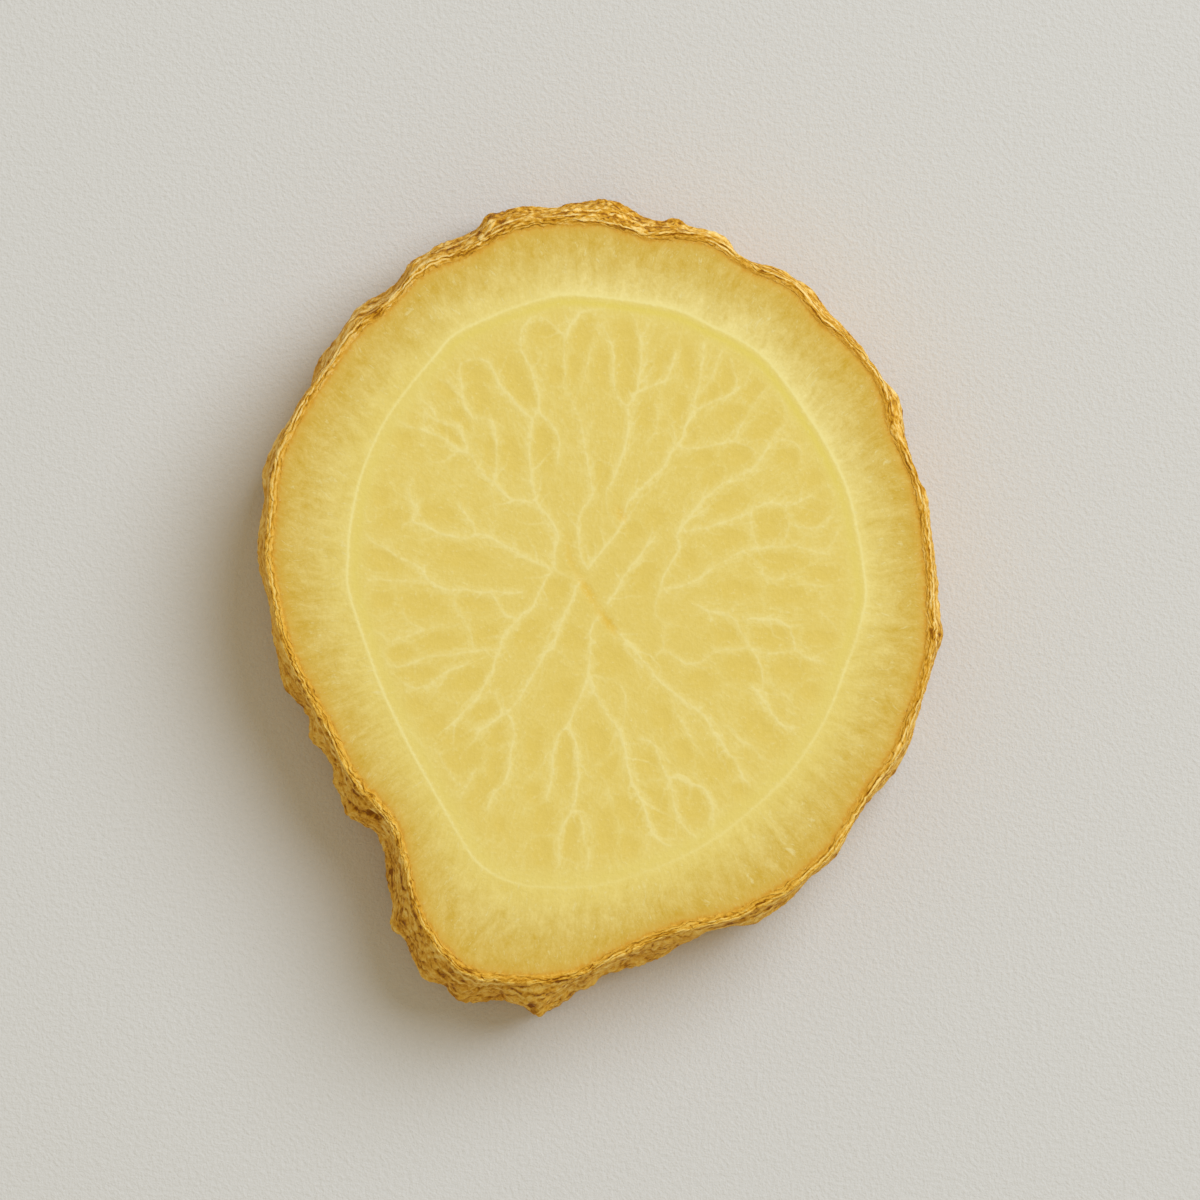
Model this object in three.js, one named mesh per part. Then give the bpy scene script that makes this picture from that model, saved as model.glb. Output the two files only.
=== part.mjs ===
// A slice of fresh ginger root, cut across the rhizome: one solid, with two flat cut faces and a
// wall of skin that leans, swells and wrinkles as the root does.
// Millimetres, +Z up, +Y along the longer side. The origin is the middle of the slice's footprint,
// on the lower cut face.

import * as THREE from "three";

// Driving dimensions
const THICKNESS = 6.5; // from one cut face to the other
const SKIN = 0.45; // the cut edge of the skin, round the flesh
const WIDEST_AT = 0.4; // where the wall stands out furthest, as a share of the thickness
const UNDERCUT = 0.5; // how far the lower rim draws back from the widest line
const SHOULDER = 1.7; // how round the wall is above the widest line: 1 is a straight slope
const COLUMNS = 240; // facets round the wall
const ROWS = 12; // facets up the wall

// The wrinkles run up the wall a little askew, so a bump at one height is shifted at another.
const SKEW = { angle: 0.05, turns: 3 };
// Scars of old leaf scales run round the wall as low ridges, with shallow hollows between them.
// Each lies at a height given as a share of the thickness, and wavers up and down round the wall.
const HOLLOW = 0.22; // depth between two scars
const SCAR_SPREAD = 0.075; // half the height of one ridge, as a share of the thickness
const LEAF_SCARS = [
  { at: 0.16, waver: 0.04, turns: 2, phase: 0.4 },
  { at: 0.42, waver: 0.05, turns: 3, phase: 2.1 },
  { at: 0.74, waver: 0.06, turns: 2, phase: 4.0 },
];

// The edge of the flesh on the upper cut face, counter-clockwise from the right.
const FLESH_EDGE = [
  [16.15, 0.5], [15.95, 3.3], [15.7, 5.0], [15.35, 6.5], [14.25, 9.0], [13.95, 10.4], [13.4, 11.6],
  [11.7, 13.5], [10.8, 14.2], [9.3, 15.9], [7.3, 16.8], [6.4, 17.4], [5.5, 18.0], [4.3, 18.3],
  [2.2, 18.35], [1.3, 18.65], [0.3, 19.0], [-1.4, 19.1], [-3.1, 19.0], [-4.5, 18.75], [-5.7, 18.1],
  [-6.9, 17.4], [-8.2, 17.0], [-9.3, 16.3], [-10.1, 15.4], [-10.9, 14.6], [-12.1, 13.7],
  [-13.6, 11.6], [-14.9, 9.6], [-16.0, 7.2], [-16.35, 4.0], [-16.45, 2.6], [-16.2, 1.0],
  [-15.4, -2.2], [-14.0, -4.9], [-13.2, -6.4], [-12.6, -7.7], [-11.9, -8.8], [-11.0, -9.7],
  [-10.4, -10.5], [-9.95, -11.6], [-9.3, -14.3], [-8.8, -15.6], [-8.0, -16.8], [-7.1, -17.7],
  [-6.1, -18.2], [-4.7, -18.35], [-2.9, -18.35], [-1.5, -18.15], [0.8, -17.05], [3.7, -15.8],
  [5.1, -15.5], [6.5, -15.15], [9.1, -13.8], [11.3, -11.9], [12.7, -9.6], [14.4, -7.2],
  [15.3, -5.0], [16.05, -2.3],
];

// The widest line of the wall, through each knob and hollow of the skin, counter-clockwise from
// the right.
const WIDEST_LINE = [
  [16.8, 0.3], [16.75, 1.9], [16.5, 3.4], [16.3, 5.1], [15.4, 7.5], [15.1, 9.0], [14.85, 10.2],
  [14.5, 11.0], [13.95, 11.5], [12.9, 13.1], [12.0, 14.0], [11.2, 14.9], [9.5, 16.5], [8.4, 17.0],
  [7.5, 17.05], [6.8, 17.55], [6.2, 18.4], [5.2, 18.85], [4.4, 19.05], [3.8, 19.4], [3.2, 19.4],
  [2.7, 19.3], [1.8, 19.65], [1.1, 20.15], [0.4, 20.4], [-0.7, 20.3], [-2.3, 19.95], [-3.5, 20.05],
  [-4.9, 19.9], [-5.6, 19.6], [-6.2, 19.1], [-8.1, 18.2], [-9.0, 17.55], [-9.6, 17.3],
  [-9.9, 16.7], [-10.3, 16.1], [-11.2, 15.6], [-12.1, 15.05], [-13.1, 13.6], [-13.9, 12.8],
  [-14.3, 12.0], [-15.1, 10.0], [-16.4, 8.0], [-16.85, 7.1], [-17.05, 4.3], [-17.25, 2.6],
  [-16.75, 0.4], [-16.35, -1.3], [-16.15, -2.8], [-15.95, -3.8], [-15.4, -4.6], [-14.8, -5.3],
  [-14.55, -6.3], [-13.9, -7.1], [-13.4, -8.0], [-13.35, -8.9], [-12.7, -10.4], [-12.0, -10.85],
  [-11.3, -11.1], [-11.0, -11.9], [-10.7, -13.8], [-10.45, -14.8], [-10.55, -15.6],
  [-10.1, -16.4], [-9.35, -18.0], [-8.9, -18.6], [-8.2, -18.75], [-7.7, -19.25], [-7.0, -19.7],
  [-6.2, -19.8], [-5.2, -19.65], [-4.4, -19.75], [-3.7, -20.15], [-3.1, -20.4], [-2.5, -20.1],
  [-0.9, -18.85], [0.0, -18.3], [2.1, -17.75], [4.0, -16.7], [5.1, -16.2], [7.4, -15.8],
  [9.1, -14.85], [9.9, -13.95], [11.6, -12.6], [12.0, -12.0], [12.9, -10.1], [14.2, -8.6],
  [15.4, -7.0], [15.85, -5.1], [16.6, -3.0], [16.9, -2.0], [17.05, -1.4], [16.85, -0.7],
];

const TURN = 2 * Math.PI;
const CURVE_STEPS = 1500; // points taken along an outline to look its radius up in

function smoothLoop(points) {
  const corners = points.map(([x, y]) => new THREE.Vector3(x, y, 0));
  return new THREE.CatmullRomCurve3(corners, true, "centripetal");
}

// The distance from the origin to an outline, as a function of the angle. Each outline is seen
// whole from the origin, so there is one distance at each angle.
function radiusByAngle(points) {
  const samples = smoothLoop(points)
    .getSpacedPoints(CURVE_STEPS)
    .slice(1)
    .map((p) => ({ angle: (Math.atan2(p.y, p.x) + TURN) % TURN, radius: Math.hypot(p.x, p.y) }))
    .sort((a, b) => a.angle - b.angle);
  const last = samples[samples.length - 1];
  const loop = [
    { ...last, angle: last.angle - TURN },
    ...samples,
    { ...samples[0], angle: samples[0].angle + TURN },
  ];
  return (angle) => {
    const wanted = ((angle % TURN) + TURN) % TURN;
    const next = loop.findIndex((s) => s.angle > wanted);
    const [a, b] = [loop[next - 1], loop[next]];
    return THREE.MathUtils.mapLinear(wanted, a.angle, b.angle, a.radius, b.radius);
  };
}

const fleshRadius = radiusByAngle(FLESH_EDGE);
const widestRadius = radiusByAngle(WIDEST_LINE);

// How far the wall lies behind the crest of the nearest leaf scar. It is nothing at both rims.
function hollowDepth(angle, height) {
  const ridges = LEAF_SCARS.map((scar) => {
    const crest = scar.at + scar.waver * Math.sin(scar.turns * angle + scar.phase);
    return Math.exp(-(((height - crest) / SCAR_SPREAD) ** 2));
  });
  return HOLLOW * (1 - Math.max(...ridges)) * Math.sin(Math.PI * height);
}

// The wall's distance from the axis. height runs from 0 at the lower rim to 1 at the upper rim.
function wallRadius(angle, height) {
  const skewed = angle + SKEW.angle * (height - WIDEST_AT) * Math.sin(SKEW.turns * angle);
  const widest = widestRadius(skewed);
  const below = Math.max(0, WIDEST_AT - height) / WIDEST_AT;
  const above = Math.max(0, height - WIDEST_AT) / (1 - WIDEST_AT);
  const upperRim = fleshRadius(angle) + SKIN;
  const bulge = THREE.MathUtils.lerp(widest, upperRim, above ** SHOULDER);
  return bulge - UNDERCUT * below ** 2 - hollowDepth(angle, height);
}

// Angles that space the columns evenly along the widest line.
function columnAngles() {
  return smoothLoop(WIDEST_LINE)
    .getSpacedPoints(COLUMNS)
    .map((p) => Math.atan2(p.y, p.x));
}

// A turned blank with the slice's rows and columns, each corner of which is then moved out to the
// root's own wall.
function sliceGeometry() {
  const wallHeights = Array.from({ length: ROWS + 1 }, (_, row) => row / ROWS);
  const profile = [0, ...wallHeights, 1].map((height) => new THREE.Vector2(1, height));
  profile[0].x = 0;
  profile[profile.length - 1].x = 0;

  const geometry = new THREE.LatheGeometry(profile, COLUMNS);
  const corners = geometry.getAttribute("position");
  columnAngles().forEach((angle, column) => {
    profile.forEach(({ x: share, y: height }, row) => {
      const radius = share * wallRadius(angle, height);
      corners.setXYZ(
        column * profile.length + row,
        radius * Math.cos(angle),
        radius * Math.sin(angle),
        height * THICKNESS,
      );
    });
  });

  geometry.computeBoundingBox();
  const middle = geometry.boundingBox.getCenter(new THREE.Vector3());
  geometry.translate(-middle.x, -middle.y, 0);
  geometry.computeVertexNormals();
  return geometry;
}

const gingerFlesh = new THREE.MeshStandardMaterial({
  color: 0xdfc465,
  roughness: 0.5,
  metalness: 0,
});

const gingerSlice = new THREE.Mesh(sliceGeometry(), gingerFlesh);
gingerSlice.name = "ginger_slice";

const slice = new THREE.Group();
slice.add(gingerSlice);

export default slice;
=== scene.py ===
"""A thick slice of fresh ginger root lying on pale paper, seen from straight above.

The CAD solid gives the outline, the height and the lean of the wall. One closed mesh is built on
it: a wall of wrinkled skin, and two cut faces, alike, whose flesh shows a ring, golden cells and
pale strands that branch between them. Lengths are in millimetres until a mesh is made.
"""
import math

import bpy
import numpy as np
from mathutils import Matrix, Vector
from mathutils.geometry import delaunay_2d_cdt


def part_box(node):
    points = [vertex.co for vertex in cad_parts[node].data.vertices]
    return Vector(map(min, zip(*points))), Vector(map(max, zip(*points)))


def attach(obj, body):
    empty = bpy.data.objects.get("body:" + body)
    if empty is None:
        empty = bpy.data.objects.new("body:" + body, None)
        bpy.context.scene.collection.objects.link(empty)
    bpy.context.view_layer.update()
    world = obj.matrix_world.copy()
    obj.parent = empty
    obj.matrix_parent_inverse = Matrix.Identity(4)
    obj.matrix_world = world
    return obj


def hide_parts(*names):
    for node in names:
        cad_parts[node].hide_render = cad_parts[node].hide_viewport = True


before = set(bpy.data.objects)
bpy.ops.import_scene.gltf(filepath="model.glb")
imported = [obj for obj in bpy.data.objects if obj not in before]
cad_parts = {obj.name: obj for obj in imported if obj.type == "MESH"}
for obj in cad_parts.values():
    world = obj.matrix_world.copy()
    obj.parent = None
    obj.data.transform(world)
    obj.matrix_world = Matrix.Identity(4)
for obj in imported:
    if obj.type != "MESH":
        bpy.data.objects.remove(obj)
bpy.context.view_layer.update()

MM = 0.001
TURN = 2 * math.pi
NODE = "ginger_slice"

# The slice and its skin
SKIN = 0.45  # the cut edge of the skin, round the flesh
THICKNESS = (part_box(NODE)[1].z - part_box(NODE)[0].z) / MM
FULLER = 0.1  # how far the wall stands out past the CAD solid's
FOOT = 0.3  # the skin's relief fades out over this height above the table
STRETCH = 0.35  # how dense the wrinkles are down the wall, against 1 on the cut edge
DENT = 0.16  # the depth of the deepest crevice of the skin
EDGE_BAND = 0.56  # round each cut face, from the rim to where the flesh is filled in
EDGE_INSETS = {  # the rows of corners across it
    "top": [0.055, 0.11, 0.165, 0.22, 0.275, 0.33, 0.39, 0.46, EDGE_BAND],
    "bottom": [0.25, EDGE_BAND],
}

# How finely it is meshed
COLUMNS = 1120
UPPER_ROWS, LOWER_ROWS = 27, 8  # above and below the widest part of the wall
UPPER_WALL = 3.7  # the height of the finer rows
EVEN = 720  # the CAD wall is read at so many even angles
GRID_REACH = 22.0  # the slice lies within this distance of the middle
FILL_STEP = {"top": 0.2, "bottom": 0.36}  # between the corners of the flesh
LINE_STEP = {"top": 0.15, "bottom": 0.25}  # along the ring and the strands
STRAND_SEED, SKIN_SEED, FILL_SEED = 11, 7, 3

# How the strands and their side branches, the twigs, run
WANDER = 0.035  # how far a strand strays from its points
TWIG_STEP, TWIG_SPACING = 0.16, 0.36  # between a twig's points, and between two twigs
TWIG_LENGTH = (0.4, 2.1)
TWIG_SLANT = (20, 60)  # in degrees, from the strand

# ------------ the strands of the flesh

# The ring between the stele and the cortex, clockwise from the left. The third number
# is how clearly its pale line shows there, and the fourth is how golden the band inside it is.
RING = [
    (-12.5, 4, 1, 0.4), (-12.05, 6.2, 0.9, 0.3), (-11.35, 8.1, 0.8, 0.2), (-10.5, 9.7, 0.8, 0.1),
    (-9.4, 11.2, 0.8, 0.1), (-8.3, 12.5, 0.9, 0.3), (-7.3, 13.6, 0.8, 0.6), (-5.6, 14.45, 0.8, 0.5),
    (-3.9, 15.1, 0.6, 0.6), (-2, 15.6, 0.7, 0.9), (-0.3, 15.55, 0.8, 1), (2, 15.25, 0.8, 1),
    (3.9, 14.85, 0.8, 1), (5.6, 14.05, 0.8, 1), (7.1, 13.3, 0.8, 1), (8.3, 12.4, 0.8, 1),
    (9.3, 11.2, 0.8, 1), (10.2, 9.9, 0.9, 1), (11.05, 8.6, 1, 1), (11.9, 7, 0.9, 0.9),
    (12.4, 5.8, 0.9, 0.7), (12.8, 4.2, 0.8, 0.5), (13.1, 2.5, 0.8, 0.5), (13.3, 0.7, 0.9, 0.5),
    (13.1, -0.5, 0.7, 0.5), (12.75, -1.8, 0.5, 0.4), (12.25, -3.1, 0.8, 0.3), (11.75, -4.5, 0.7, 0.2),
    (11.1, -5.9, 0.6, 0.2), (10.3, -7.2, 0.6, 0.1), (9.4, -8.4, 0.5, 0.2), (8.3, -9.5, 0.5, 0.2),
    (7.1, -10.55, 0.4, 0.2), (5.7, -11.6, 0.4, 0.2), (4.1, -12.5, 0.35, 0.2), (2, -13.35, 0.2, 0.2),
    (-0.4, -13.95, 0.3, 0.1), (-2.8, -14, 0.4, 0.1), (-4.6, -13.7, 0.5, 0.1), (-6.1, -12.8, 0.8, 0.2),
    (-7, -11.5, 0.6, 0.2), (-7.8, -10.1, 0.8, 0.2), (-8.7, -8.5, 0.9, 0.2), (-9.55, -6.95, 1, 0.2),
    (-10.3, -5.4, 1, 0.2), (-10.95, -4, 1, 0.2), (-11.5, -2.5, 0.9, 0.3), (-12.05, -0.9, 0.9, 0.4),
    (-12.6, 1, 0.9, 0.4), (-12.6, 2.5, 1, 0.4),
]

# The golden cells between the strands: the middle, half the length, half the width, and the
# turn of the long axis in degrees.
CELLS = [
    # above
    (-6.4, 11.7, 0.8, 0.45, -25), (-4.2, 11.4, 1.4, 0.5, 118), (-2.8, 13.7, 0.65, 0.45, 0),
    (-0.8, 13.6, 0.75, 0.45, 70), (1.3, 12.6, 1.9, 0.5, 90), (3.1, 12.2, 0.8, 0.4, 65),
    (6.4, 11.6, 0.8, 0.4, 72), (5.5, 10.6, 0.65, 0.35, 48), (7.7, 10.8, 0.6, 0.4, 50),
    (6.6, 9.6, 0.7, 0.5, 20), (8.3, 9.1, 0.95, 0.45, 45), (7, 7.6, 0.7, 0.5, 20),
    (5.2, 7.5, 0.45, 0.4, 0), (9.4, 7.5, 0.55, 0.4, 0), (5.6, 6.6, 0.55, 0.35, 40),
    (4.5, 8.6, 0.5, 0.3, 60), (2.3, 9.6, 0.65, 0.35, 75), (4, 9.9, 0.8, 0.35, 80),
    (0.15, 6.8, 0.8, 0.3, 88), (-2.8, 8.2, 1, 0.4, 95), (-4.4, 7.6, 0.9, 0.4, 100),
    (-5.5, 7.8, 0.7, 0.25, 95), (-7, 9.5, 0.6, 0.25, 125), (-7.5, 8.6, 0.8, 0.22, 145),
    (-2.2, 11.6, 0.45, 0.35, 90), (-6, 10.6, 0.8, 0.4, 110), (-7.7, 10.9, 0.6, 0.3, 130),
    (0.1, 11.9, 0.9, 0.3, 92), (-1.3, 12, 0.6, 0.3, 80), (4.4, 12.2, 0.8, 0.3, 95),
    # right
    (10.6, 4.7, 0.7, 0.5, 10), (8.6, 4.1, 0.75, 0.65, 0), (6.4, 5.2, 0.9, 0.4, 20),
    (6.4, 3.4, 0.7, 0.4, 20), (9, 2.3, 1.1, 0.4, 0), (11.2, 1.7, 0.7, 0.35, 0),
    (6.8, 0.9, 0.9, 0.45, -10), (9.5, 0.6, 0.9, 0.4, 0), (8.7, -1.5, 0.95, 0.5, 0),
    (11.1, -1.5, 0.8, 0.35, 0), (7.2, -3, 0.85, 0.6, -15), (9.5, -3.1, 0.8, 0.6, -20),
    (6.2, -1.4, 0.8, 0.5, 0), (5.1, -3.6, 0.6, 0.5, 0), (10.7, 6.5, 0.6, 0.4, 20),
    (10.6, -4.3, 0.6, 0.4, -30), (8.1, -6.1, 1.3, 0.5, -40),
    # below
    (5.8, -7.9, 0.8, 0.7, -60), (4.6, -9.8, 0.9, 0.55, -70), (2.9, -9.9, 0.8, 0.4, -75),
    (2.4, -7.8, 0.6, 0.5, -70), (4.2, -7.2, 0.6, 0.35, -60), (1.5, -10.3, 0.8, 0.5, -60),
    (0.3, -11.3, 1.1, 0.4, 90), (-1.4, -11.4, 1.1, 0.35, 80), (-2.8, -10.6, 0.8, 0.5, 80),
    (-2.9, -12.2, 0.7, 0.45, 80), (-1.7, -7.6, 1.2, 0.38, 90), (0.4, -8.1, 0.6, 0.35, 60),
    (-3.3, -9.3, 0.5, 0.35, 80), (-5, -10.9, 0.4, 0.25, 90), (-6, -9.3, 0.9, 0.4, 60),
    (-5.3, -8.2, 0.9, 0.35, 75), (1.5, -12, 0.6, 0.4, 90), (7.2, -9.4, 0.6, 0.4, -50),
    (3.2, -5.6, 0.8, 0.45, -55), (-0.1, -6.6, 0.8, 0.5, -80), (-3.3, -6.9, 0.9, 0.4, 80),
    # left
    (-6.9, -7.6, 0.85, 0.5, 25), (-7.3, -6.5, 0.7, 0.45, 20), (-8.2, -5.8, 0.65, 0.45, 20),
    (-9.1, -4.9, 0.7, 0.4, 10), (-9.1, -3.3, 0.9, 0.35, -5), (-6.6, -3.6, 0.8, 0.5, 20),
    (-5.7, -5.2, 0.6, 0.4, 20), (-5.2, -6.4, 0.5, 0.35, 70), (-10, -2.3, 0.7, 0.35, 10),
    (-8, -1.7, 1, 0.4, 0), (-9, 0.1, 1.1, 0.55, 0), (-10.8, 0.3, 0.5, 0.4, 0),
    (-10.8, 2.4, 0.9, 0.45, -20), (-7, 2.5, 1.2, 0.5, -15), (-10.3, 4.4, 0.7, 0.5, 0),
    (-11, 5.6, 0.5, 0.5, 0), (-8, 4.7, 0.8, 0.4, -10), (-9.9, 8.4, 0.6, 0.4, 150),
    # in the middle
    (-5.7, -1.4, 0.6, 0.5, 0), (-6.2, 0.2, 0.7, 0.35, 0), (-3.6, -1.4, 0.8, 0.5, 60),
    (-2.2, 1, 0.6, 0.5, 0), (-1.3, -1.6, 0.6, 0.5, 0), (0.6, -2.6, 0.8, 0.7, 0),
    (-1.9, -4.3, 0.7, 0.5, 60), (2.2, 1.5, 0.8, 0.5, 60), (1.6, 3.8, 0.5, 0.4, 0),
    (2.8, 4.5, 0.6, 0.4, 40), (4.3, 2.4, 0.6, 0.5, 0),
]

# The small clefts in the middle, where the strands start, with the depth as the third number.
CLEFTS = [
    [(-1.65, 3.6, 0.15), (-1.5, 2.5, 0.4), (-1.15, 1.7, 0.2), (-0.65, 0.85, 0.9),
     (-0.2, 0.1, 0.35), (0.15, -0.45, 0.7), (0.45, -0.8, 1.0), (0.75, -1.25, 0.5)],
    [(0.85, 5.1, 0.1), (1.0, 4.75, 0.6), (1.15, 4.45, 0.7)],
]

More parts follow.
